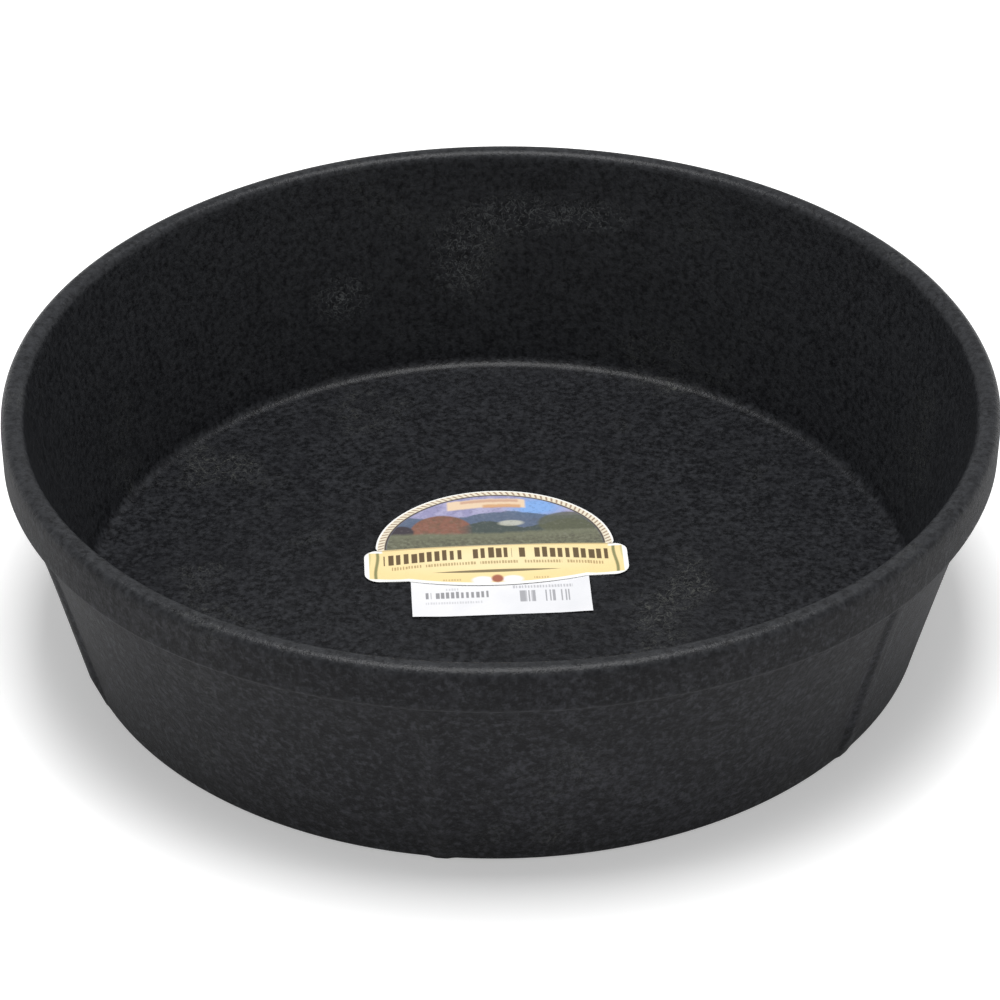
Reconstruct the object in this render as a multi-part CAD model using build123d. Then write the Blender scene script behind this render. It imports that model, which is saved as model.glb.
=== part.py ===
"""A shallow moulded rubber feed pan with a printed label and a size tag stuck to its floor.

The pan is one round moulding: a thick rounded lip, a stout band under it, a wall that tapers down
to a flat base, and six upright ribs round the outside. The tag lies on the floor of the bowl, and
the label lies partly on the floor and partly on the tag.

The origin is the centre of the base, on the surface that the pan stands on. +Z is up, and the
printing on the floor reads from the -Y side. All sizes are in millimetres.
"""

from build123d import *
import os

# Pan: driving dimensions
RIM_DIAMETER = 419.0
HEIGHT = 112.0
BASE_DIAMETER = 365.0
FLOOR_THICKNESS = 9.0
LIP_THICKNESS = 9.5
BAND_HEIGHT = 18.0
BAND_OVERHANG = 5.8
BAND_UNDERCUT_DROP = 4.5
FLOOR_CORNER_DIAMETER = 360.0

# Pan: rounding of each corner of the section
BASE_EDGE_RADIUS = 2.0
BAND_ROOT_RADIUS = 3.0
BAND_EDGE_RADIUS = 2.5
LIP_OUTER_RADIUS = 3.8
LIP_INNER_RADIUS = 4.2
FLOOR_CORNER_RADIUS = 5.0

# Ribs on the outside of the wall: a middle one front and back, with one at each side of it
MIDDLE_RIB_ANGLES = (-97.6, 82.4)
SIDE_RIB_TURN = 58.5
RIB_CREST_WIDTH = 5.0
RIB_ROOT_WIDTH = 12.0
RIB_ROOT_DEPTH = 2.0
RIB_FOOT_STANDOUT = 0.7
RIB_FULL_STANDOUT = 2.2
RIB_FULL_STANDOUT_Z = 12.0
RIB_TOP_STANDOUT = 1.5

# Label and tag
TAG_WIDTH = 78.0
TAG_HEIGHT = 38.0
TAG_THICKNESS = 0.25
TAG_CENTRE = (1.0, -20.5)
LABEL_THICKNESS = 0.5
BANNER_WIDTH = 116.0
BANNER_HEIGHT = 24.5
BANNER_CORNER_RADIUS = 6.0
ARCH_HALF_WIDTH = 52.8
ARCH_RISE = 44.5
BULGE_WIDTH = 78.0
BULGE_DROP = 5.2
LABEL_CENTRE = (-1.1, 13.0)
LABEL_TURN = 2.5

RIM_RADIUS = RIM_DIAMETER / 2
BASE_RADIUS = BASE_DIAMETER / 2
BAND_FOOT_Z = HEIGHT - BAND_HEIGHT
WALL_TOP_Z = BAND_FOOT_Z - BAND_UNDERCUT_DROP
WALL_TOP_RADIUS = RIM_RADIUS - BAND_OVERHANG


def wall_radius(height):
    """Outer radius of the tapered wall at a height between the base and the band."""
    share = height / WALL_TOP_Z
    return BASE_RADIUS + (WALL_TOP_RADIUS - BASE_RADIUS) * share


def pan_section():
    """Half section of the pan in the XZ plane, from the axis outwards, without the ribs."""
    corners = [
        (0, 0, 0),
        (BASE_RADIUS, 0, BASE_EDGE_RADIUS),
        (WALL_TOP_RADIUS, WALL_TOP_Z, BAND_ROOT_RADIUS),
        (RIM_RADIUS, BAND_FOOT_Z, BAND_EDGE_RADIUS),
        (RIM_RADIUS, HEIGHT, LIP_OUTER_RADIUS),
        (RIM_RADIUS - LIP_THICKNESS, HEIGHT, LIP_INNER_RADIUS),
        (FLOOR_CORNER_DIAMETER / 2, FLOOR_THICKNESS, FLOOR_CORNER_RADIUS),
        (0, FLOOR_THICKNESS, 0),
    ]
    points = [Plane.XZ.from_local_coords((x, z, 0)) for x, z, _ in corners]
    radii = [radius for _, _, radius in corners]
    return make_face(FilletPolyline(*points, radius=radii, close=True))


def rib_section(height, standout):
    """Level section of a rib: rooted inside the wall, with its narrow side outwards."""
    surface = wall_radius(height)
    half_root = RIB_ROOT_WIDTH / 2
    half_crest = RIB_CREST_WIDTH / 2
    outline = Polyline(
        (surface - RIB_ROOT_DEPTH, -half_root),
        (surface, -half_root),
        (surface + standout, -half_crest),
        (surface + standout, half_crest),
        (surface, half_root),
        (surface - RIB_ROOT_DEPTH, half_root),
        close=True,
    )
    return Pos(0, 0, height) * make_face(outline)


def rib():
    """One upright rib along +X, with a sloped foot, from the base up into the band."""
    sections = [
        rib_section(0, RIB_FOOT_STANDOUT),
        rib_section(RIB_FULL_STANDOUT_Z, RIB_FULL_STANDOUT),
        rib_section(BAND_FOOT_Z, RIB_TOP_STANDOUT),
    ]
    return loft(sections, ruled=True)


def rubber_pan():
    """The whole moulding: the revolved bowl with its ribs."""
    bowl = revolve(pan_section(), Axis.Z)
    one_rib = rib()
    turns = (-SIDE_RIB_TURN, 0, SIDE_RIB_TURN)
    ribs = [Rot(Z=middle + turn) * one_rib for middle in MIDDLE_RIB_ANGLES for turn in turns]
    return bowl + ribs


def on_floor(shape):
    """Lays a flat shape, drawn about the banner's centre, in its place on the bowl's floor."""
    return Pos(*LABEL_CENTRE, FLOOR_THICKNESS) * Rot(Z=LABEL_TURN) * shape


def size_tag():
    """The rectangular tag, lying flat on the floor."""
    return on_floor(Pos(*TAG_CENTRE) * extrude(Rectangle(TAG_WIDTH, TAG_HEIGHT), TAG_THICKNESS))


def label_outline():
    """The die-cut outline: an arch over a banner whose lower edge bulges down at the middle."""
    half_height = BANNER_HEIGHT / 2
    banner = RectangleRounded(BANNER_WIDTH, BANNER_HEIGHT, BANNER_CORNER_RADIUS)
    arch = Pos(0, half_height) * Ellipse(ARCH_HALF_WIDTH, ARCH_RISE)
    arch -= Pos(0, -ARCH_RISE) * Rectangle(BANNER_WIDTH, 2 * ARCH_RISE)
    half_bulge = BULGE_WIDTH / 2
    bulge_edge = ThreePointArc(
        (-half_bulge, -half_height), (0, -half_height - BULGE_DROP), (half_bulge, -half_height)
    )
    bulge_sides = Polyline((half_bulge, -half_height), (half_bulge, 0), (-half_bulge, 0),
                           (-half_bulge, -half_height))
    return banner + arch + make_face([bulge_edge, bulge_sides])


def printed_label(tag):
    """The label, cut away below where it lies over the tag."""
    return on_floor(extrude(label_outline(), LABEL_THICKNESS)) - tag


def write_nodes():
    os.makedirs("parts", exist_ok=True)
    tag = size_tag()
    nodes = {"rubber_pan": rubber_pan(), "printed_label": printed_label(tag), "size_tag": tag}
    for name, shape in nodes.items():
        export_step(shape, f"parts/{name}.step")


write_nodes()
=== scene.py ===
"""A black rubber feed pan with a printed label and a size tag on its floor, on a white table.

The pan is rebuilt here as one closed mesh with softly worn corners, a slightly flexed rim and a
crumb-rubber material. The label and the tag are rebuilt as thin sheets with their own printing,
which is made only of plain shapes. Lengths are in metres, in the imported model's frame, unless a
comment says millimetres.
"""

import math

import bmesh
import bpy
import numpy as np
from mathutils import Matrix, Vector


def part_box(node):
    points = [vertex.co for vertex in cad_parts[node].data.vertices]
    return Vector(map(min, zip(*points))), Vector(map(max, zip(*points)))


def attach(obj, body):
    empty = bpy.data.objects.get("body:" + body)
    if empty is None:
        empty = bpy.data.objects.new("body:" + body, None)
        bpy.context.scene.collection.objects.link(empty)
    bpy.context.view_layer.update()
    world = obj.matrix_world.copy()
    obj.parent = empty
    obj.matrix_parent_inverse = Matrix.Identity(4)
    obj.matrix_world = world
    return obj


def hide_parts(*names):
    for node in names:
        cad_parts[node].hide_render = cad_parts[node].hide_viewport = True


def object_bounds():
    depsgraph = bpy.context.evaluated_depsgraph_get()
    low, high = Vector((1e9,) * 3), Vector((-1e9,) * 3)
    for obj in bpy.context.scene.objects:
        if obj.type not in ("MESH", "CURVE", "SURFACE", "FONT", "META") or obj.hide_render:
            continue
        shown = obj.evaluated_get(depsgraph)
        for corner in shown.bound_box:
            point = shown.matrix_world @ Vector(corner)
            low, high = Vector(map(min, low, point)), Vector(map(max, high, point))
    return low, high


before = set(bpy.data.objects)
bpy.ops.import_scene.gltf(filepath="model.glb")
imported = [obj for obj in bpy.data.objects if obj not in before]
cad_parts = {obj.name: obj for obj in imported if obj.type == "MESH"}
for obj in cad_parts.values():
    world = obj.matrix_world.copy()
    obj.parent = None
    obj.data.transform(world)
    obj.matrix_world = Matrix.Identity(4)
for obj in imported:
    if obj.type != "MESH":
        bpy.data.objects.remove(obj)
CAD_LOW, CAD_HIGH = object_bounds()

MM = 0.001

# Sizes read from the frame
RIM_RADIUS = (CAD_HIGH.x - CAD_LOW.x) / 2
HEIGHT = CAD_HIGH.z
FLOOR_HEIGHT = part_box("size_tag")[0].z

# The pan's section: the CAD model's sizes, with slimmer and softer ribs
BASE_RADIUS = 182.5 * MM
FLOOR_CORNER_REACH = 180.0 * MM
LIP_THICKNESS = 9.5 * MM
BAND_HEIGHT = 18.0 * MM
BAND_OVERHANG = 5.8 * MM
UNDERCUT_DROP = 4.5 * MM
MIDDLE_RIB_ANGLES = (-97.6, 82.4)
SIDE_RIB_TURN = 58.5
RIB_CREST_HALF_WIDTH = 1.9 * MM
RIB_ROOT_HALF_WIDTH = 6.6 * MM
RIB_FOOT_STANDOUT = 0.15 * MM
RIB_FULL_STANDOUT = 2.0 * MM
RIB_FULL_STANDOUT_Z = 13.0 * MM
RIB_TOP_STANDOUT = 1.3 * MM

# Rounding of each corner of the section
BASE_ROUNDING = 2.0 * MM
BAND_ROOT_ROUNDING = 4.0 * MM
BAND_EDGE_ROUNDING = 2.4 * MM
LIP_OUTER_ROUNDING = 4.5 * MM
LIP_INNER_ROUNDING = 4.2 * MM
FLOOR_ROUNDING = 5.0 * MM

# How fine the pan's mesh is
ROUNDING_STEPS = 8
RIB_MESH_REACH = 8.0 * MM
RIB_MESH_COLUMNS = 25
BETWEEN_RIB_COLUMNS = 56

# How far the soft rim is out of true. Turns are from the front, to the right, in degrees
RIM_SHIFT = 1.4 * MM
RIM_SQUARING = 2.7 * MM
RIGHT_SWELL = 1.6 * MM
RIGHT_SWELL_TURN = 83
RIGHT_SWELL_SPREAD = 16
LEFT_SWELL = 0.8 * MM
LEFT_SWELL_TURN = -74
LEFT_SWELL_SPREAD = 17
BAND_DROOP = 1.8 * MM
FLEX_GROWTH = 1.3

# Where the printing lies, in metres, and its sizes in millimetres, as the CAD model has it
LABEL_CENTRE = Vector((-1.1 * MM, 13.0 * MM, 0))
LABEL_TURN = math.radians(2.5)
BANNER_HALF_WIDTH = 58.0
BANNER_HALF_HEIGHT = 12.25
BANNER_CORNER = 6.0
ARCH_HALF_WIDTH = 52.8
ARCH_RISE = 44.5
BULGE_HALF_WIDTH = 39.0
BULGE_DROP = 5.2
TAG_CENTRE = (1.0, -20.5)
TAG_HALF_SIZE = (39.0, 19.0)

# The thin sheets
LABEL_THICKNESS = 0.16 * MM
TAG_THICKNESS = 0.15 * MM
SHEET_COLUMNS = 61
SHEET_WAVE = 0.04 * MM

# Pale scuffs on the bowl's far wall: each one's middle and reach, across and up, in mm
SCUFFS = (((-15, 63), (12, 17)), ((10, 82), (17, 8)), ((45, 83), (15, 6)), ((-72, 50), (10, 8)))

# Brightness of the studio
SKY = 0.35
SIDE_GLOW = 0.36
HORIZON_GLOW = 0.08
FLOOR_GLOW = 0.33
OVERHEAD_POWER = 27.0
OVERHEAD_SIZE = (0.76, 0.95)
OVERHEAD_HEIGHT = 1.5
TABLE_RADIUS = 12.0
TABLE_GAP = 0.05 * MM

# A long lens, with the pan filling the frame's width. Angles are in degrees
CAMERA_ELEVATION = 33.72
CAMERA_ROLL = -0.58
CAMERA_DISTANCE = 1.689
CAMERA_TARGET = Vector((0.8 * MM, 0.5 * MM, 50.8 * MM))
CAMERA_LENS = 141.0
CAMERA_SENSOR = 36.0


# ---------------------------------------------------------------- shader arithmetic


class Field:
    """A number that varies over a surface: a shader socket that plain arithmetic works on."""

    def __init__(self, tree, socket):
        self.tree = tree
        self.socket = socket

    def math(self, operation, *others):
        node = self.tree.nodes.new("ShaderNodeMath")
        node.operation = operation
        for slot, value in zip(node.inputs, (self, *others)):
            connect(self.tree, value, slot)
        return Field(self.tree, node.outputs[0])

    def __add__(self, other):
        return self.math("ADD", other)

    def __sub__(self, other):
        return self.math("SUBTRACT", other)

    def __rsub__(self, other):
        return (self * -1.0) + other

    def __mul__(self, other):
        return self.math("MULTIPLY", other)

    def __truediv__(self, other):
        return self.math("DIVIDE", other)

    def __abs__(self):
        return self.math("ABSOLUTE")

    def least(self, other):
        return self.math("MINIMUM", other)

    def most(self, other):
        return self.math("MAXIMUM", other)

    def ramp(self, low, high):
        """0 below low and 1 above high, or the other way round if high is the smaller."""
        node = self.tree.nodes.new("ShaderNodeMapRange")
        node.clamp = True
        connect(self.tree, self, node.inputs["Value"])
        start, end, a, b = (low, high, 0.0, 1.0) if low < high else (high, low, 1.0, 0.0)
        node.inputs["From Min"].default_value = start
        node.inputs["From Max"].default_value = end
        node.inputs["To Min"].default_value = a
        node.inputs["To Max"].default_value = b
        return Field(self.tree, node.outputs["Result"])


def box(u, v, left, right, low, high, soft=0.25):
    """1 inside a rectangle, with slightly soft edges as ink has."""
    inside = u.ramp(left - soft, left + soft) * u.ramp(right + soft, right - soft)
    return inside * v.ramp(low - soft, low + soft) * v.ramp(high + soft, high - soft)


def oval(u, v, centre, radii, soft=0.15):
    """1 inside an ellipse."""
    across = (u - centre[0]) / radii[0]
    along = (v - centre[1]) / radii[1]
    return (across * across + along * along).math("SQRT").ramp(1 + soft, 1 - soft)


def connect(tree, value, slot):
    """Links a field to a node's input, or sets the input to a plain value."""
    if isinstance(value, Field):
        tree.links.new(value.socket, slot)
    elif isinstance(value, bpy.types.NodeSocket):
        tree.links.new(value, slot)
    else:
        slot.default_value = value


class Paint:
    """A Principled material whose colour is laid down in layers, each through a mask."""

    def __init__(self, name, base_colour):
        self.material = bpy.data.materials.new(name)
        self.material.use_nodes = True
        self.tree = self.material.node_tree
        self.shader = self.tree.nodes["Principled BSDF"]
        self.colour = (*base_colour, 1.0)
        texture = self.tree.nodes.new("ShaderNodeTexCoord")
        self.place = texture.outputs["Object"]

    def split(self, vector):
        """The three parts of a vector, as fields."""
        node = self.tree.nodes.new("ShaderNodeSeparateXYZ")
        self.tree.links.new(vector, node.inputs[0])
        return [Field(self.tree, out) for out in node.outputs]

    def join(self, x, y, z):
        """A vector made of three fields or numbers."""
        node = self.tree.nodes.new("ShaderNodeCombineXYZ")
        for value, slot in zip((x, y, z), node.inputs):
            connect(self.tree, value, slot)
        return node.outputs[0]

    def noise(self, scale, detail=2.0, roughness=0.5, distortion=0.0, vector=None):
        node = self.tree.nodes.new("ShaderNodeTexNoise")
        self.tree.links.new(vector or self.place, node.inputs["Vector"])
        node.inputs["Scale"].default_value = scale
        node.inputs["Detail"].default_value = detail
        node.inputs["Roughness"].default_value = roughness
        node.inputs["Distortion"].default_value = distortion
        return Field(self.tree, node.outputs["Fac"])

    def random_steps(self, value, seed):
        """A random number for each whole step of a field."""
        node = self.tree.nodes.new("ShaderNodeTexWhiteNoise")
        node.noise_dimensions = "1D"
        connect(self.tree, value.math("FLOOR") + seed, node.inputs["W"])
        return Field(self.tree, node.outputs["Value"])

    def attribute(self, name):
        """A number that the mesh holds at each of its points."""
        node = self.tree.nodes.new("ShaderNodeAttribute")
        node.attribute_name = name
        return Field(self.tree, node.outputs["Fac"])

    def layer(self, mask, colour):
        """Lays a colour over what is there, where the mask is 1."""
        node = self.tree.nodes.new("ShaderNodeMix")
        node.data_type = "RGBA"
        connect(self.tree, mask, node.inputs["Factor"])
        connect(self.tree, self.colour, node.inputs["A"])
        connect(self.tree, (*colour, 1.0), node.inputs["B"])
        self.colour = node.outputs["Result"]

    def surface_mm(self, centre, turn):
        """Coordinates in millimetres on a flat print, about its centre and along its own edges."""
        x, y, _ = self.split(self.place)
        across, along = (x - centre.x) / MM, (y - centre.y) / MM
        cos, sin = math.cos(turn), math.sin(turn)
        return across * cos + along * sin, along * cos - across * sin

    def relief(self, height, strength, distance):
        """Bump from a height field."""
        node = self.tree.nodes.new("ShaderNodeBump")
        connect(self.tree, height, node.inputs["Height"])
        node.inputs["Strength"].default_value = strength
        node.inputs["Distance"].default_value = distance
        self.tree.links.new(node.outputs["Normal"], self.shader.inputs["Normal"])

    def finish(self, roughness, specular):
        """Joins the layers to the shader, and returns the material."""
        connect(self.tree, self.colour, self.shader.inputs["Base Color"])
        connect(self.tree, roughness, self.shader.inputs["Roughness"])
        self.shader.inputs["Specular IOR Level"].default_value = specular
        return self.material


# ---------------------------------------------------------------- materials


def crumb_rubber():
    """Black moulded rubber: crumb grain, pale scuffs, faint streaks, worn edges, and painted shade
    that makes the outside blacker than the bowl.
    """
    paint = Paint("crumb_rubber", (0.0052, 0.0055, 0.0064))
    x, y, z = paint.split(paint.place)
    reach = (x * x + y * y).math("SQRT").most(MM)
    round_wall = paint.join(x / reach * 62, y / reach * 62, z * 150)
    up_wall = paint.join(x / reach * 95, y / reach * 95, z * 75)
    on_wall = z.ramp(FLOOR_HEIGHT, FLOOR_HEIGHT + 12 * MM)

    # Noise, from the finest to the broadest
    grit = paint.noise(1150, detail=2, roughness=0.5)
    crumbs = paint.noise(370, detail=5, roughness=0.68)
    lumps = paint.noise(190, detail=3, roughness=0.6)
    blotches = paint.noise(75, detail=3, roughness=0.55)
    patches = paint.noise(16, detail=4, roughness=0.6)
    streaks = paint.noise(1.0, detail=5, roughness=0.65, vector=up_wall)
    smears = paint.noise(1.0, detail=3, vector=round_wall)

    # The grain, all over
    paint.layer(crumbs.ramp(0.42, 0.78), (0.0340, 0.0357, 0.0403))
    paint.layer(crumbs.ramp(0.50, 0.30) * 0.5, (0.0014, 0.0015, 0.0019))
    paint.layer(grit.ramp(0.50, 0.66) * 0.22, (0.0300, 0.0310, 0.0350))
    paint.layer(lumps.ramp(0.50, 0.70) * 0.35, (0.0185, 0.0195, 0.0225))
    paint.layer(blotches.ramp(0.46, 0.32) * 0.35, (0.0060, 0.0062, 0.0078))
    paint.layer(patches.ramp(0.42, 0.68) * 0.30, (0.0075, 0.0078, 0.0095))
    paint.layer(streaks.ramp(0.56, 0.72) * on_wall * 0.40, (0.0330, 0.0335, 0.0385))
    paint.layer(smears.ramp(0.58, 0.74) * on_wall * 0.30, (0.0300, 0.0303, 0.0345))

    # Fine pale scratches and rubbed grit, in a few places
    strokes = paint.noise(150, detail=3, roughness=0.5, distortion=1.2)
    places = paint.noise(19, detail=2).ramp(0.60, 0.70)
    paint.layer(abs(strokes - 0.5).ramp(0.016, 0.004) * places * 0.5, (0.085, 0.088, 0.080))
    paint.layer(places * grit.ramp(0.50, 0.62) * 0.25, (0.055, 0.057, 0.055))

    # The bowl's wall is evened out, and the outside is painted blacker between its paler crumbs,
    # as painted shade
    outside = paint.attribute("outside")
    bowl_wall = (1 - outside) * on_wall
    paint.layer(bowl_wall * crumbs.ramp(0.26, 0.80) * 0.80, (0.0300, 0.0316, 0.0345))
    # Painted shade: a dark layer over the whole outside wall
    paint.layer(outside * (crumbs.ramp(0.64, 0.38) * 0.60 + 0.14), (0.0020, 0.0021, 0.0034))
    paint.layer(outside * crumbs.ramp(0.54, 0.72) * 0.60, (0.0390, 0.0402, 0.0480))
    paint.layer(outside * lumps.ramp(0.52, 0.66) * 0.22, (0.0360, 0.0370, 0.0440))
    rubbed = patches.ramp(0.52, 0.66) * crumbs.ramp(0.40, 0.60)
    paint.layer(outside * rubbed * 0.35, (0.0340, 0.0350, 0.0420))

    # Scuffs on the far wall, and worn edges
    hairs = abs(paint.noise(330, detail=2, distortion=0.8) - 0.5).ramp(0.035, 0.008)
    for centre, size in SCUFFS:
        spot = oval(x / MM, z / MM, centre, size, soft=0.7) * y.ramp(0, 50 * MM)
        paint.layer(spot * hairs * 0.75, (0.095, 0.100, 0.102))
    worn = paint.noise(300, detail=4, roughness=0.7).ramp(0.40, 0.70)
    paint.layer(paint.attribute("edge") * worn * 0.14, (0.036, 0.037, 0.040))

    height = crumbs + grit * 0.35 + streaks * on_wall * 0.4
    paint.relief(height, strength=0.8, distance=0.00045)
    roughness = patches * 0.08 + crumbs * 0.16 + outside * 0.35 + 0.20
    return paint.finish(roughness, specular=0.165)


def bent_rows(u, v, sag, half_width):
    """Height in millimetres, in rows of print that arch up in the middle."""
    bend = u / half_width
    return v + bend * bend * sag


def word_marks(paint, u, v, spans, low, high, pitch, seed):
    """Short upright bars of uneven width in place of each word, too plain to be read."""
    step = u / pitch
    width = paint.random_steps(step, seed) * 0.30 + 0.58
    tall = paint.random_steps(step, seed + 41) * 0.16 + 0.84
    share = step.math("FRACT")
    bars = (width - share).ramp(-0.02, 0.06) * share.ramp(0.02, 0.10)
    rows = v.ramp(low - 0.2, low + 0.2) * (tall * (high - low) + low - v).ramp(-0.2, 0.2)
    words = None
    for left, right in spans:
        word = u.ramp(left - 0.1, left + 0.1) * u.ramp(right + 0.1, right - 0.1)
        words = word if words is None else words.most(word)
    return bars * rows * words


def outline_depth(u, v):
    """How far a point is inside the arch, and inside the banner, in millimetres, near enough."""
    across = u / ARCH_HALF_WIDTH
    up = (v - BANNER_HALF_HEIGHT) / ARCH_RISE
    arch = (1 - (across * across + up * up).math("SQRT")) * (ARCH_RISE * 1.06)
    banner = (BANNER_HALF_WIDTH - abs(u)).least(BANNER_HALF_HEIGHT - abs(v))
    bend = u / BULGE_HALF_WIDTH
    bulge_low = (v + BANNER_HALF_HEIGHT + BULGE_DROP) - bend * bend * BULGE_DROP
    bulge = bulge_low.least(BANNER_HALF_HEIGHT - v)
    bulge = bulge.least((BULGE_HALF_WIDTH - abs(u)) + 2.0)
    return arch * v.ramp(BANNER_HALF_HEIGHT - 1, BANNER_HALF_HEIGHT), banner.most(bulge)


def printed_sticker():
    """Glossy printed paper: a plain landscape under an arch, over a cream banner of word marks."""
    paint = Paint("printed_sticker", (0.82, 0.82, 0.80))
    u, v = paint.surface_mm(LABEL_CENTRE, LABEL_TURN)
    in_arch, in_banner = outline_depth(u, v)
    mottle = paint.noise(700, detail=3)
    wash = paint.noise(160, detail=4, roughness=0.6)

    # Arch: a rope border with brown dashes, round a sky, low hills and a field
    above = bent_rows(u, v, 1.8, 50.0).ramp(14.0, 14.6)
    paint.layer(in_arch.ramp(0.5, 0.9) * above, (0.72, 0.66, 0.52))
    turn = (v - BANNER_HALF_HEIGHT).math("ARCTAN2", u * (ARCH_RISE / ARCH_HALF_WIDTH))
    dash = (turn * 19.0 + in_arch * 0.25).math("FRACT")
    dashes = dash.ramp(0.30, 0.42) * dash.ramp(0.80, 0.68)
    rope = in_arch.ramp(0.7, 1.1) * in_arch.ramp(3.4, 3.0) * above
    paint.layer(rope * dashes * 0.8, (0.22, 0.12, 0.075))
    paint.layer(in_arch.ramp(3.2, 3.6) * above, (0.07, 0.055, 0.045))
    scene = in_arch.ramp(4.0, 4.5) * above
    paint.layer(scene, (0.27, 0.26, 0.42))
    clouds = wash.ramp(0.45, 0.60)
    paint.layer(scene * clouds * v.ramp(30, 40) * 0.5, (0.46, 0.44, 0.60))
    paint.layer(scene * oval(u, v, (20, 43), (11, 7), soft=0.4), (0.20, 0.36, 0.68))
    far_hills = v - (u * 0.11 + 1.0).math("SINE") * 2.2 - wash * 4.0
    paint.layer(scene * far_hills.ramp(36.2, 35.4) * 0.9, (0.080, 0.115, 0.17))
    red_hill = oval(u, v, (-23, 24), (14.5, 14.5), soft=0.035)
    paint.layer(scene * red_hill, (0.225, 0.105, 0.075))
    paint.layer(scene * red_hill * wash.ramp(0.45, 0.62) * 0.6, (0.13, 0.095, 0.06))
    near_hills = v - (u * 0.17 + 2.2).math("SINE") * 2.8 - wash * 6.0
    paint.layer(scene * near_hills.ramp(27.6, 26.9) * u.ramp(-16, -9), (0.062, 0.078, 0.072))
    paint.layer(scene * oval(u, v, (34, 30), (14, 8.5), soft=0.06) * 0.85, (0.10, 0.105, 0.065))
    paint.layer(scene * oval(u, v, (-41, 26), (5.5, 5.0), soft=0.1), (0.050, 0.042, 0.050))
    pale_field = oval(u, v, (8, 31), (5.5, 2.2), soft=0.2)
    paint.layer(scene * near_hills.ramp(33.5, 32.5) * pale_field * 0.8, (0.50, 0.50, 0.42))
    field = v - wash * 3.0 - abs(u) * 0.03
    paint.layer(scene * field.ramp(23.0, 21.0), (0.150, 0.155, 0.105))
    stubble = field.ramp(19.5, 17.0) * mottle.ramp(0.35, 0.65)
    paint.layer(scene * stubble * 0.6, (0.085, 0.078, 0.058))
    paint.layer(scene * mottle.ramp(0.52, 0.66) * 0.20, (0.040, 0.038, 0.045))
    paint.layer(scene * mottle.ramp(0.44, 0.32) * 0.10, (0.36, 0.34, 0.34))

    # A pale cloud bank at the top of the arch, with a warm glow on it
    bank = v + u * u * 0.005 - wash * 2.0
    inner = in_arch.ramp(4.0, 5.0)
    pale_bank = box(u, bank, -20, 15, 43, 49.5, soft=0.5)
    low_glow = box(u, bank, -4, 13, 42.5, 45.2, soft=0.6)
    high_glow = box(u, bank, -14, 12, 47.0, 49.0, soft=0.5)
    paint.layer(pale_bank * in_arch.ramp(4.0, 4.5), (0.70, 0.54, 0.38))
    paint.layer(low_glow * inner * 0.7, (0.50, 0.24, 0.09))
    paint.layer(high_glow * inner * 0.6, (0.42, 0.20, 0.14))

    # Banner: cream, with a darker rolled end at each side
    cream = in_banner.ramp(1.9, 2.3).most(box(u, v, -50, 50, 6, 14, soft=0.4))
    cream = cream * bent_rows(u, v, 1.8, 50.0).ramp(14.6, 14.0)
    paint.layer(cream, (0.80, 0.63, 0.31))
    paint.layer(cream * oval(u, v, (0, 3), (42, 9), soft=0.5) * 0.45, (0.84, 0.76, 0.52))
    paint.layer(cream * wash.ramp(0.5, 0.8) * 0.3, (0.66, 0.56, 0.30))
    curl = abs(u) + (v * 0.22).math("SINE") * 0.6
    fold = curl.ramp(51.6, 52.2) * curl.ramp(53.6, 53.0)
    paint.layer(cream * fold * 0.85, (0.13, 0.15, 0.06))
    paint.layer(cream * curl.ramp(55.3, 55.9) * 0.6, (0.42, 0.42, 0.20))
    top_line = bent_rows(u, v, 1.8, 50.0)
    line = top_line.ramp(13.3, 13.6) * top_line.ramp(14.3, 14.0) * abs(u).ramp(53, 52)
    paint.layer(line * 0.6, (0.30, 0.22, 0.10))

    # Word marks, a plain tapered rule under them, and a dot between two pale ovals at the foot
    bent = bent_rows(u, v, 4.0, 49.0)
    spans = ((-49.5, -14), (-11, 7.2), (9.4, 13.4), (16.6, 49.5))
    headline = word_marks(paint, u, bent, spans, 4.2, 12.4, 3.4, 3)
    paint.layer(headline * 0.94, (0.075, 0.042, 0.018))
    bent = bent_rows(u, v, 3.0, 47.0)
    spans = ((-46, -33), (-31, -9), (-7, 10), (12, 29), (31, 47))
    second_line = word_marks(paint, u, bent, spans, -0.6, 2.0, 1.25, 11)
    paint.layer(second_line * 0.65, (0.26, 0.16, 0.06))
    foot_line = word_marks(paint, u, v, ((-24, -16), (16, 23)), -13.2, -11.6, 1.2, 23)
    paint.layer(foot_line * 0.5, (0.30, 0.20, 0.10))
    flow = u / 28.0
    thick = (1 - flow * flow).most(0.0) * 1.1
    stroke = (thick - abs(v + 6.3)).ramp(-0.15, 0.15) * abs(u).ramp(28.4, 27.8)
    paint.layer(stroke * 0.85, (0.10, 0.075, 0.04))
    ovals = oval(abs(u), v, (6.6, -13.2), (4.6, 2.9), soft=0.2) * in_banner.ramp(0.8, 1.3)
    paint.layer(ovals, (0.86, 0.78, 0.82))
    paint.layer(oval(u, v, (0, -12.4), (2.6, 3.0), soft=0.2), (0.34, 0.12, 0.075))

    paint.relief(mottle * 0.4 + wash, strength=0.12, distance=0.0003)
    return paint.finish(mottle * 0.10 + 0.36, specular=0.45)


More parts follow.
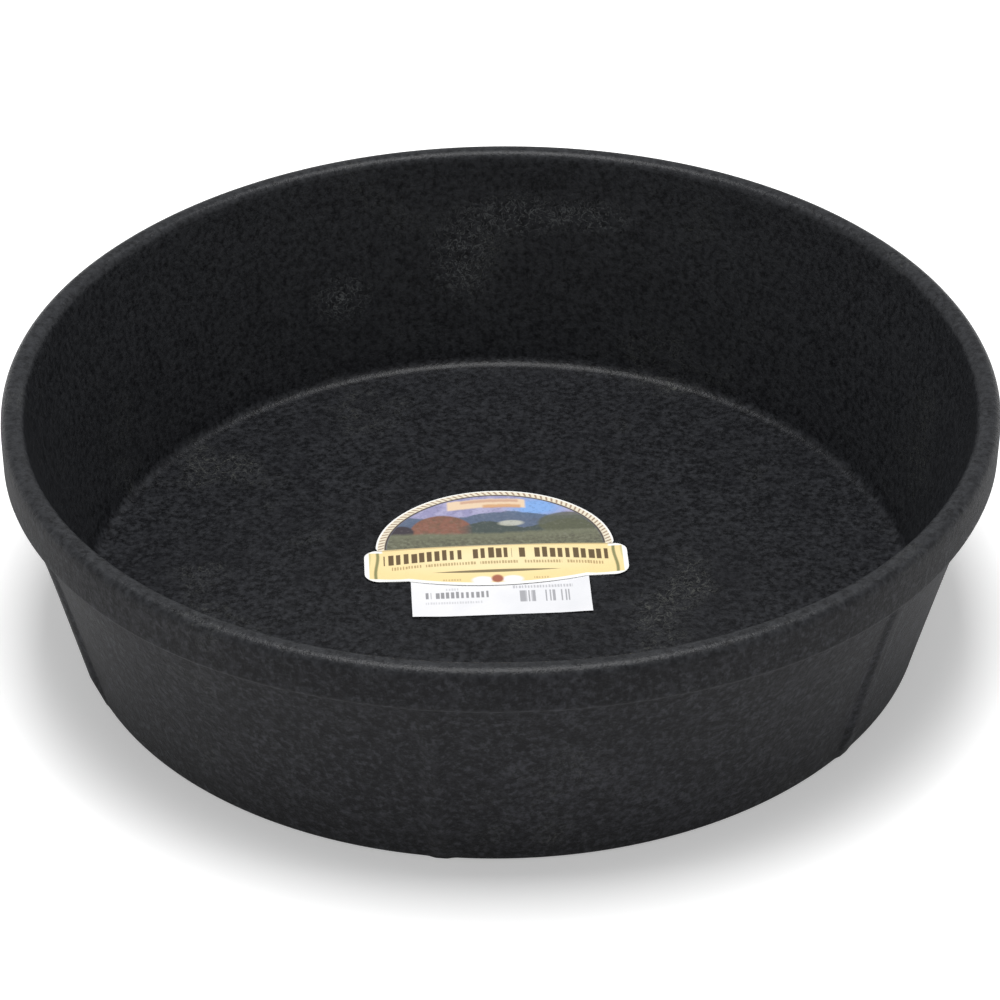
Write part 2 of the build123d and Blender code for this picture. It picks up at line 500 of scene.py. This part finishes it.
def tag_paper():
    """White coated paper with rows of grey word marks and a block of upright bars."""
    paint = Paint("tag_paper", (0.74, 0.74, 0.76))
    u, v = paint.surface_mm(LABEL_CENTRE, LABEL_TURN)
    u, v = u - TAG_CENTRE[0], v - TAG_CENTRE[1]
    pulp = paint.noise(900, detail=4, roughness=0.6)
    wash = paint.noise(45, detail=3)
    paint.layer(pulp.ramp(0.4, 0.7) * 0.35, (0.70, 0.70, 0.72))
    paint.layer(wash.ramp(0.45, 0.75) * 0.5, (0.62, 0.63, 0.66))
    bold = word_marks(paint, u, v, ((-33, -30.4), (-28.5, -5.5)), -5.4, -0.4, 2.2, 5)
    paint.layer(bold * 0.72, (0.08, 0.08, 0.09))
    small_top = word_marks(paint, u, v, ((-24, -18.5),), 0.4, 2.2, 1.2, 61)
    paint.layer(small_top * 0.35, (0.25, 0.25, 0.26))
    small_foot = word_marks(paint, u, v, ((-33, -8),), -9.6, -7.8, 1.15, 29)
    paint.layer(small_foot * 0.34, (0.25, 0.25, 0.27))
    over_bars = word_marks(paint, u, v, ((5, 31.5),), 0.6, 2.8, 1.3, 13)
    paint.layer(over_bars * 0.5, (0.22, 0.22, 0.24))
    stripe = paint.random_steps(u / 0.62, 71).ramp(0.50, 0.56)
    paint.layer(stripe * box(u, v, 7, 30.5, -9.6, -1.2) * 0.62, (0.12, 0.12, 0.14))
    paint.relief(pulp, strength=0.10, distance=0.0002)
    return paint.finish(pulp * 0.08 + 0.42, specular=0.4)


def pale_floor():
    """The studio floor: a plain white light table, very slightly uneven in tone."""
    paint = Paint("studio_floor", (0.90, 0.90, 0.90))
    paint.layer(paint.noise(3.0, detail=3).ramp(0.3, 0.7) * 0.25, (0.87, 0.87, 0.87))
    table = paint.finish(0.85, specular=0.2)
    shader = next(node for node in table.node_tree.nodes if node.type == "BSDF_PRINCIPLED")
    shader.inputs["Emission Color"].default_value = (1.0, 1.0, 1.0, 1.0)
    shader.inputs["Emission Strength"].default_value = FLOOR_GLOW
    return table


# ---------------------------------------------------------------- the pan


def arc(before, corner, after, radius, steps):
    """Points that round off the corner between two straight runs."""
    corner = np.array(corner)
    to_before = np.array(before) - corner
    to_after = np.array(after) - corner
    to_before /= np.linalg.norm(to_before)
    to_after /= np.linalg.norm(to_after)
    half_angle = math.acos(float(np.dot(to_before, to_after))) / 2
    middle = to_before + to_after
    centre = corner + middle / np.linalg.norm(middle) * radius / math.sin(half_angle)
    start = corner + to_before * radius / math.tan(half_angle) - centre
    end = corner + to_after * radius / math.tan(half_angle) - centre
    first = math.atan2(start[1], start[0])
    sweep = (math.atan2(end[1], end[0]) - first + math.pi) % (2 * math.pi) - math.pi
    turns = first + sweep * np.linspace(0, 1, steps + 1)
    return [centre + radius * np.array((math.cos(t), math.sin(t))) for t in turns]


def wall_radius(height):
    """Outer radius of the tapered wall, between the base and the band."""
    top = HEIGHT - BAND_HEIGHT - UNDERCUT_DROP
    return BASE_RADIUS + (RIM_RADIUS - BAND_OVERHANG - BASE_RADIUS) * height / top


def pan_section():
    """The half section, from the underside's centre round the outside to the floor's centre.

    Each corner is radius, height, rounding, and the most that the run after it is split into.
    """
    band_foot = HEIGHT - BAND_HEIGHT
    undercut = band_foot - UNDERCUT_DROP
    corners = [
        (0, 0, 0, 12 * MM),
        (BASE_RADIUS, 0, BASE_ROUNDING, 2.5 * MM),
        (wall_radius(undercut), undercut, BAND_ROOT_ROUNDING, 2 * MM),
        (RIM_RADIUS, band_foot, BAND_EDGE_ROUNDING, 3 * MM),
        (RIM_RADIUS, HEIGHT, LIP_OUTER_ROUNDING, 3 * MM),
        (RIM_RADIUS - LIP_THICKNESS, HEIGHT, LIP_INNER_ROUNDING, 3 * MM),
        (FLOOR_CORNER_REACH, FLOOR_HEIGHT, FLOOR_ROUNDING, 6 * MM),
        (0, FLOOR_HEIGHT, 0, 6 * MM),
    ]
    section = []
    for index, (radius, height, rounding, _) in enumerate(corners):
        here = (radius, height)
        if rounding:
            before = corners[index - 1][:2]
            after = corners[index + 1][:2]
            points = arc(before, here, after, rounding, ROUNDING_STEPS)
        else:
            points = [np.array(here)]
        if section:
            run = points[0] - section[-1]
            pieces = max(1, math.ceil(np.linalg.norm(run) / corners[index - 1][3]))
            section += [section[-1] + run * step / pieces for step in range(1, pieces)]
        section += points
    return np.array(section)


def rib_angles():
    """Where the six ribs are round the pan, in rising order."""
    turns = (-SIDE_RIB_TURN, 0, SIDE_RIB_TURN)
    return sorted(math.radians(middle + turn) for middle in MIDDLE_RIB_ANGLES for turn in turns)


def ring_angles():
    """Angles round the pan: even steps, with closer ones where a rib crosses."""
    offsets = np.linspace(-RIB_MESH_REACH, RIB_MESH_REACH, RIB_MESH_COLUMNS) / RIM_RADIUS
    ribs = rib_angles()
    angles = []
    for here, after in zip(ribs, ribs[1:] + [ribs[0] + 2 * math.pi]):
        count = BETWEEN_RIB_COLUMNS + 2
        between = np.linspace(here + offsets[-1], after + offsets[0], count)[1:-1]
        angles += [here + offsets, between]
    return np.concatenate(angles)


def smooth(low, high, value):
    """0 at low, 1 at high, eased at both ends."""
    share = np.clip((value - low) / (high - low), 0, 1)
    return share * share * (3 - 2 * share)


def turn_between(angle, other):
    """The signed turn from one angle to another, at most half a circle."""
    return (angle - other + math.pi) % (2 * math.pi) - math.pi


def rib_swell(radius, angle, height):
    """How far the outside of the wall stands out where a rib runs up it."""
    off = np.full_like(radius, 1.0)
    for rib in rib_angles():
        off = np.minimum(off, np.abs(turn_between(angle, rib)) * radius)
    crest_share = 1 - smooth(RIB_CREST_HALF_WIDTH, RIB_ROOT_HALF_WIDTH, off)
    band_foot = HEIGHT - BAND_HEIGHT
    heights = [0, RIB_FULL_STANDOUT_Z, band_foot]
    standouts = [RIB_FOOT_STANDOUT, RIB_FULL_STANDOUT, RIB_TOP_STANDOUT]
    crest = wall_radius(height) + np.interp(height, heights, standouts)
    return crest_share * np.maximum(crest - radius, 0)


def flex(angle, height):
    """How a soft rim leaves its true circle: outward and upward moves, growing with height."""
    front = angle + math.pi / 2
    near = np.clip(np.cos(front), 0, 1)
    shift = RIM_SHIFT * np.sin(front) * (0.65 + 0.35 * smooth(-0.1, 0.4, np.cos(front)))
    squaring = RIM_SQUARING * np.abs(np.sin(2 * front)) ** 1.3 * smooth(0, 0.3, near)
    from_right = turn_between(front, math.radians(RIGHT_SWELL_TURN))
    from_left = turn_between(front, math.radians(LEFT_SWELL_TURN))
    swell = RIGHT_SWELL * np.exp(-(from_right / math.radians(RIGHT_SWELL_SPREAD)) ** 2)
    swell += LEFT_SWELL * np.exp(-(from_left / math.radians(LEFT_SWELL_SPREAD)) ** 2)
    uneven = 0.22 * MM * np.sin(3 * front + 0.8) + 0.14 * MM * np.sin(7 * front + 2.1)
    share = np.clip(height / HEIGHT, 0, 1) ** FLEX_GROWTH
    outward = (shift + squaring + swell + uneven) * share
    to_side = smooth(math.radians(12), math.radians(45), np.arccos(np.clip(np.cos(front), -1, 1)))
    at_band_foot = smooth(HEIGHT, HEIGHT - 17 * MM, height) * smooth(60 * MM, 92 * MM, height)
    upward = -BAND_DROOP * to_side * at_band_foot
    return outward, upward + 0.12 * MM * np.sin(4 * front + 1.3) * share


def build_pan():
    """The pan as one closed mesh: the section taken round, with ribs, and flexed."""
    section = pan_section()
    angles = ring_angles()
    radius = np.repeat(section[:, 0][:, None], len(angles), axis=1)
    height = np.repeat(section[:, 1][:, None], len(angles), axis=1)
    angle = np.repeat(angles[None, :], len(section), axis=0)

    on_ribs = (np.arange(len(section)) < np.argmax(section[:, 1]))
    on_ribs &= (section[:, 1] < HEIGHT - BAND_HEIGHT) & (section[:, 0] > BASE_RADIUS - 3 * MM)
    radius += np.where(on_ribs[:, None], rib_swell(radius, angle, height), 0)
    outward, upward = flex(angle, height)
    on_floor = smooth(FLOOR_CORNER_REACH - 12 * MM, FLOOR_CORNER_REACH, radius)
    radius += outward * on_floor
    height = height + upward

    x = radius * np.cos(angle)
    y = radius * np.sin(angle)
    rings = np.stack([x, y, height], axis=-1)
    points = rings[1:-1].reshape(-1, 3)
    points = np.vstack([points, rings[0, 0], rings[-1, 0]])
    count = len(angles)
    rows = len(section) - 2
    low_centre = rows * count
    high_centre = low_centre + 1
    faces = []
    for row in range(rows - 1):
        for column in range(count):
            after = (column + 1) % count
            near = row * count
            far = near + count
            faces.append((near + column, near + after, far + after, far + column))
    last = (rows - 1) * count
    for column in range(count):
        after = (column + 1) % count
        faces.append((low_centre, after, column))
        faces.append((high_centre, last + column, last + after))

    mesh = bpy.data.meshes.new("rubber_pan_mesh")
    mesh.from_pydata([tuple(p) for p in points], [], faces)
    mesh.validate()
    mesh.shade_smooth()

    # How near each point is to the lip's top or the base's edge, where the rubber is scuffed
    lip = smooth(HEIGHT - 5 * MM, HEIGHT - 1 * MM, points[:, 2])
    reach = np.hypot(points[:, 0], points[:, 1])
    foot = smooth(4 * MM, 1 * MM, points[:, 2]) * smooth(BASE_RADIUS - 6 * MM, BASE_RADIUS, reach)
    edge = mesh.attributes.new("edge", "FLOAT", "POINT")
    edge.data.foreach_set("value", np.maximum(lip, foot).astype(np.float32))

    # The outside, below the lip's rounded edge, is painted blacker than the bowl, as painted
    # shade.
    # The last two points are the middles of the underside and of the floor
    crown = np.argmax(section[:, 1])
    before_crown = np.arange(len(section)) <= crown
    ring_outside = smooth(HEIGHT, HEIGHT - 5 * MM, section[:, 1]) * before_crown
    shares = np.concatenate([np.repeat(ring_outside[1:-1], count), [1.0, 0.0]])
    outside = mesh.attributes.new("outside", "FLOAT", "POINT")
    outside.data.foreach_set("value", shares.astype(np.float32))

    pan = bpy.data.objects.new("moulded_pan", mesh)
    bpy.context.scene.collection.objects.link(pan)
    mesh.materials.append(crumb_rubber())
    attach(pan, "root")
    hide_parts("rubber_pan")


# ---------------------------------------------------------------- the label and the tag


def place_on_floor(u, v):
    """Millimetres on the print to metres in the frame."""
    cos, sin = math.cos(LABEL_TURN), math.sin(LABEL_TURN)
    return LABEL_CENTRE.x + (u * cos - v * sin) * MM, LABEL_CENTRE.y + (u * sin + v * cos) * MM


def build_sheet(name, half_widths, heights, middle, lift, thickness, material, node):
    """A thin closed sheet made of level rows, each of its own half width, about a middle line.

    lift(u, v) gives how far the sheet's underside is above the bowl's floor.
    """
    columns = SHEET_COLUMNS
    share = np.linspace(-1, 1, columns)
    u = middle + np.array(half_widths)[:, None] * share[None, :]
    v = np.repeat(np.array(heights)[:, None], columns, axis=1)
    x, y = place_on_floor(u, v)
    under = FLOOR_HEIGHT + lift(u, v)
    rows = len(heights)
    low = np.stack([x, y, under], axis=-1).reshape(-1, 3)
    high = np.stack([x, y, under + thickness], axis=-1).reshape(-1, 3)
    points = np.vstack([high, low])
    total = rows * columns
    faces = []
    for row in range(rows - 1):
        for column in range(columns - 1):
            a = row * columns + column
            b, c, d = a + 1, a + columns + 1, a + columns
            faces += [(a, b, c, d), (total + d, total + c, total + b, total + a)]
    rim = list(range(columns))
    rim += [row * columns + columns - 1 for row in range(1, rows)]
    rim += [(rows - 1) * columns + column for column in range(columns - 2, -1, -1)]
    rim += [row * columns for row in range(rows - 2, 0, -1)]
    for here, after in zip(rim, rim[1:] + rim[:1]):
        faces.append((after, here, total + here, total + after))
    mesh = bpy.data.meshes.new(name + "_mesh")
    mesh.from_pydata([tuple(p) for p in points], [], faces)
    mesh.validate()
    mesh.materials.append(material)
    sheet = bpy.data.objects.new(name, mesh)
    bpy.context.scene.collection.objects.link(sheet)
    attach(sheet, "root")
    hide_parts(node)


def waves(u, v):
    """Small uneven waves in laid paper, never below zero."""
    wave = 1 + 0.5 * np.sin(u * 0.11 + 0.7) + 0.5 * np.sin(v * 0.16 + u * 0.05)
    return SHEET_WAVE * wave


def build_tag():
    """The tag, whose lower edge and lower corners lift a little."""
    half_width, half_height = TAG_HALF_SIZE
    heights = TAG_CENTRE[1] + np.linspace(-half_height, half_height, 31)

    def lift(u, v):
        to_edge = smooth(half_width - 16, half_width, np.abs(u - TAG_CENTRE[0]))
        to_foot = smooth(TAG_CENTRE[1] - 6, TAG_CENTRE[1] - half_height, v)
        return waves(u, v) + (0.45 * to_edge * to_foot + 0.25 * to_foot ** 2) * MM

    widths = np.full(len(heights), half_width)
    build_sheet("paper_size_tag", widths, heights, TAG_CENTRE[0], lift, TAG_THICKNESS,
                tag_paper(), "size_tag")


def label_rows():
    """Heights and half widths that follow the label's outline from its foot to its crown."""
    half = BANNER_HALF_HEIGHT
    foot_radius = (BULGE_HALF_WIDTH ** 2 + BULGE_DROP ** 2) / (2 * BULGE_DROP)
    rows = []
    for drop in np.sin(np.linspace(math.pi / 2, 0, 14)) * BULGE_DROP:
        rise = foot_radius - (BULGE_DROP - drop)
        reach = math.sqrt(max(foot_radius ** 2 - rise ** 2, 0))
        rows.append((-half - drop, max(reach, 1.0)))
    corner = np.linspace(0, math.pi / 2, 8)
    side = BANNER_HALF_WIDTH - BANNER_CORNER
    lower = [(-half + BANNER_CORNER * (1 - math.cos(t)), side + BANNER_CORNER * math.sin(t))
             for t in corner]
    rows += [(height + 0.03, width) for height, width in lower]
    rows += [(height, BANNER_HALF_WIDTH) for height in np.linspace(-half + 8, half - 8, 5)]
    rows += [(-height, width) for height, width in lower[::-1]]
    for turn in np.linspace(0, math.radians(88), 34)[1:]:
        rows.append((half + ARCH_RISE * math.sin(turn), ARCH_HALF_WIDTH * math.cos(turn)))
    return rows


def build_label():
    """The label, which steps up over the tag and whose ends, crown and foot lift a little."""
    rows = label_rows()
    heights = [height for height, _ in rows]
    widths = [width for _, width in rows]
    tag_top = TAG_CENTRE[1] + TAG_HALF_SIZE[1]
    tag_left = TAG_CENTRE[0] - TAG_HALF_SIZE[0]
    tag_right = TAG_CENTRE[0] + TAG_HALF_SIZE[0]

    def lift(u, v):
        over_tag = smooth(tag_top + 3, tag_top, v)
        over_tag *= smooth(tag_left - 3, tag_left, u) * smooth(tag_right + 3, tag_right, u)
        to_end = smooth(44, BANNER_HALF_WIDTH, np.abs(u)) * smooth(16, 4, v)
        crown = smooth(40, 57, v)
        foot = smooth(-12, -17, v) * 0.2
        return waves(u, v) + (0.30 * over_tag + 0.75 * to_end + 0.30 * crown + foot) * MM

    build_sheet("printed_arch_label", widths, heights, 0.0, lift, LABEL_THICKNESS,
                printed_sticker(), "printed_label")


# ---------------------------------------------------------------- studio


def build_floor():
    """A wide round table, just under the pan."""
    mesh = bpy.data.meshes.new("studio_floor_mesh")
    shape = bmesh.new()
    bmesh.ops.create_circle(shape, cap_ends=True, segments=96, radius=TABLE_RADIUS)
    shape.to_mesh(mesh)
    shape.free()
    floor = bpy.data.objects.new("studio_floor", mesh)
    floor.location.z = -TABLE_GAP
    mesh.materials.append(pale_floor())
    bpy.context.scene.collection.objects.link(floor)


def area_light(name, place, aim, size, power):
    """A rectangular soft light that faces a point."""
    data = bpy.data.lights.new(name, "AREA")
    data.shape = "RECTANGLE"
    data.size, data.size_y = size
    data.energy = power
    light = bpy.data.objects.new(name, data)
    light.location = place
    light.rotation_euler = (Vector(aim) - Vector(place)).to_track_quat("-Z", "Y").to_euler()
    bpy.context.scene.collection.objects.link(light)


def build_world():
    """An even soft sky, brighter low down at the two sides and close above the horizon."""
    world = bpy.data.worlds.new("studio")
    bpy.context.scene.world = world
    world.use_nodes = True
    tree = world.node_tree
    background = tree.nodes["Background"]
    direction = tree.nodes.new("ShaderNodeTexCoord").outputs["Generated"]
    split = tree.nodes.new("ShaderNodeSeparateXYZ")
    tree.links.new(direction, split.inputs[0])
    across, up = Field(tree, split.outputs["X"]), Field(tree, split.outputs["Z"])
    strength = abs(across).ramp(0.25, 0.85) * up.ramp(0.50, 0.10) * SIDE_GLOW + SKY
    strength = strength + up.ramp(0.20, 0.06) * HORIZON_GLOW
    tree.links.new(strength.socket, background.inputs["Strength"])
    background.inputs["Color"].default_value = (1.0, 1.0, 1.0, 1.0)


def build_light():
    """The sky, and one softbox straight above the pan."""
    build_world()
    place = (0, 0, OVERHEAD_HEIGHT)
    area_light("overhead_softbox", place, (0, 0, 0), OVERHEAD_SIZE, OVERHEAD_POWER)


def build_camera():
    """The camera, in front of the pan and above it."""
    elevation = math.radians(CAMERA_ELEVATION)
    roll = math.radians(CAMERA_ROLL)
    data = bpy.data.cameras.new("camera")
    data.sensor_width = CAMERA_SENSOR
    data.lens = CAMERA_LENS
    camera = bpy.data.objects.new("camera", data)
    back = Vector((0, -math.cos(elevation), math.sin(elevation)))
    camera.location = CAMERA_TARGET + back * CAMERA_DISTANCE
    aim = (-back).to_track_quat("-Z", "Y").to_matrix().to_4x4()
    camera.matrix_world = Matrix.Translation(camera.location) @ aim @ Matrix.Rotation(roll, 4, "Z")
    bpy.context.scene.collection.objects.link(camera)
    bpy.context.scene.camera = camera


build_pan()
build_tag()
build_label()
build_floor()
build_light()
build_camera()
bpy.context.scene.view_settings.view_transform = "Standard"
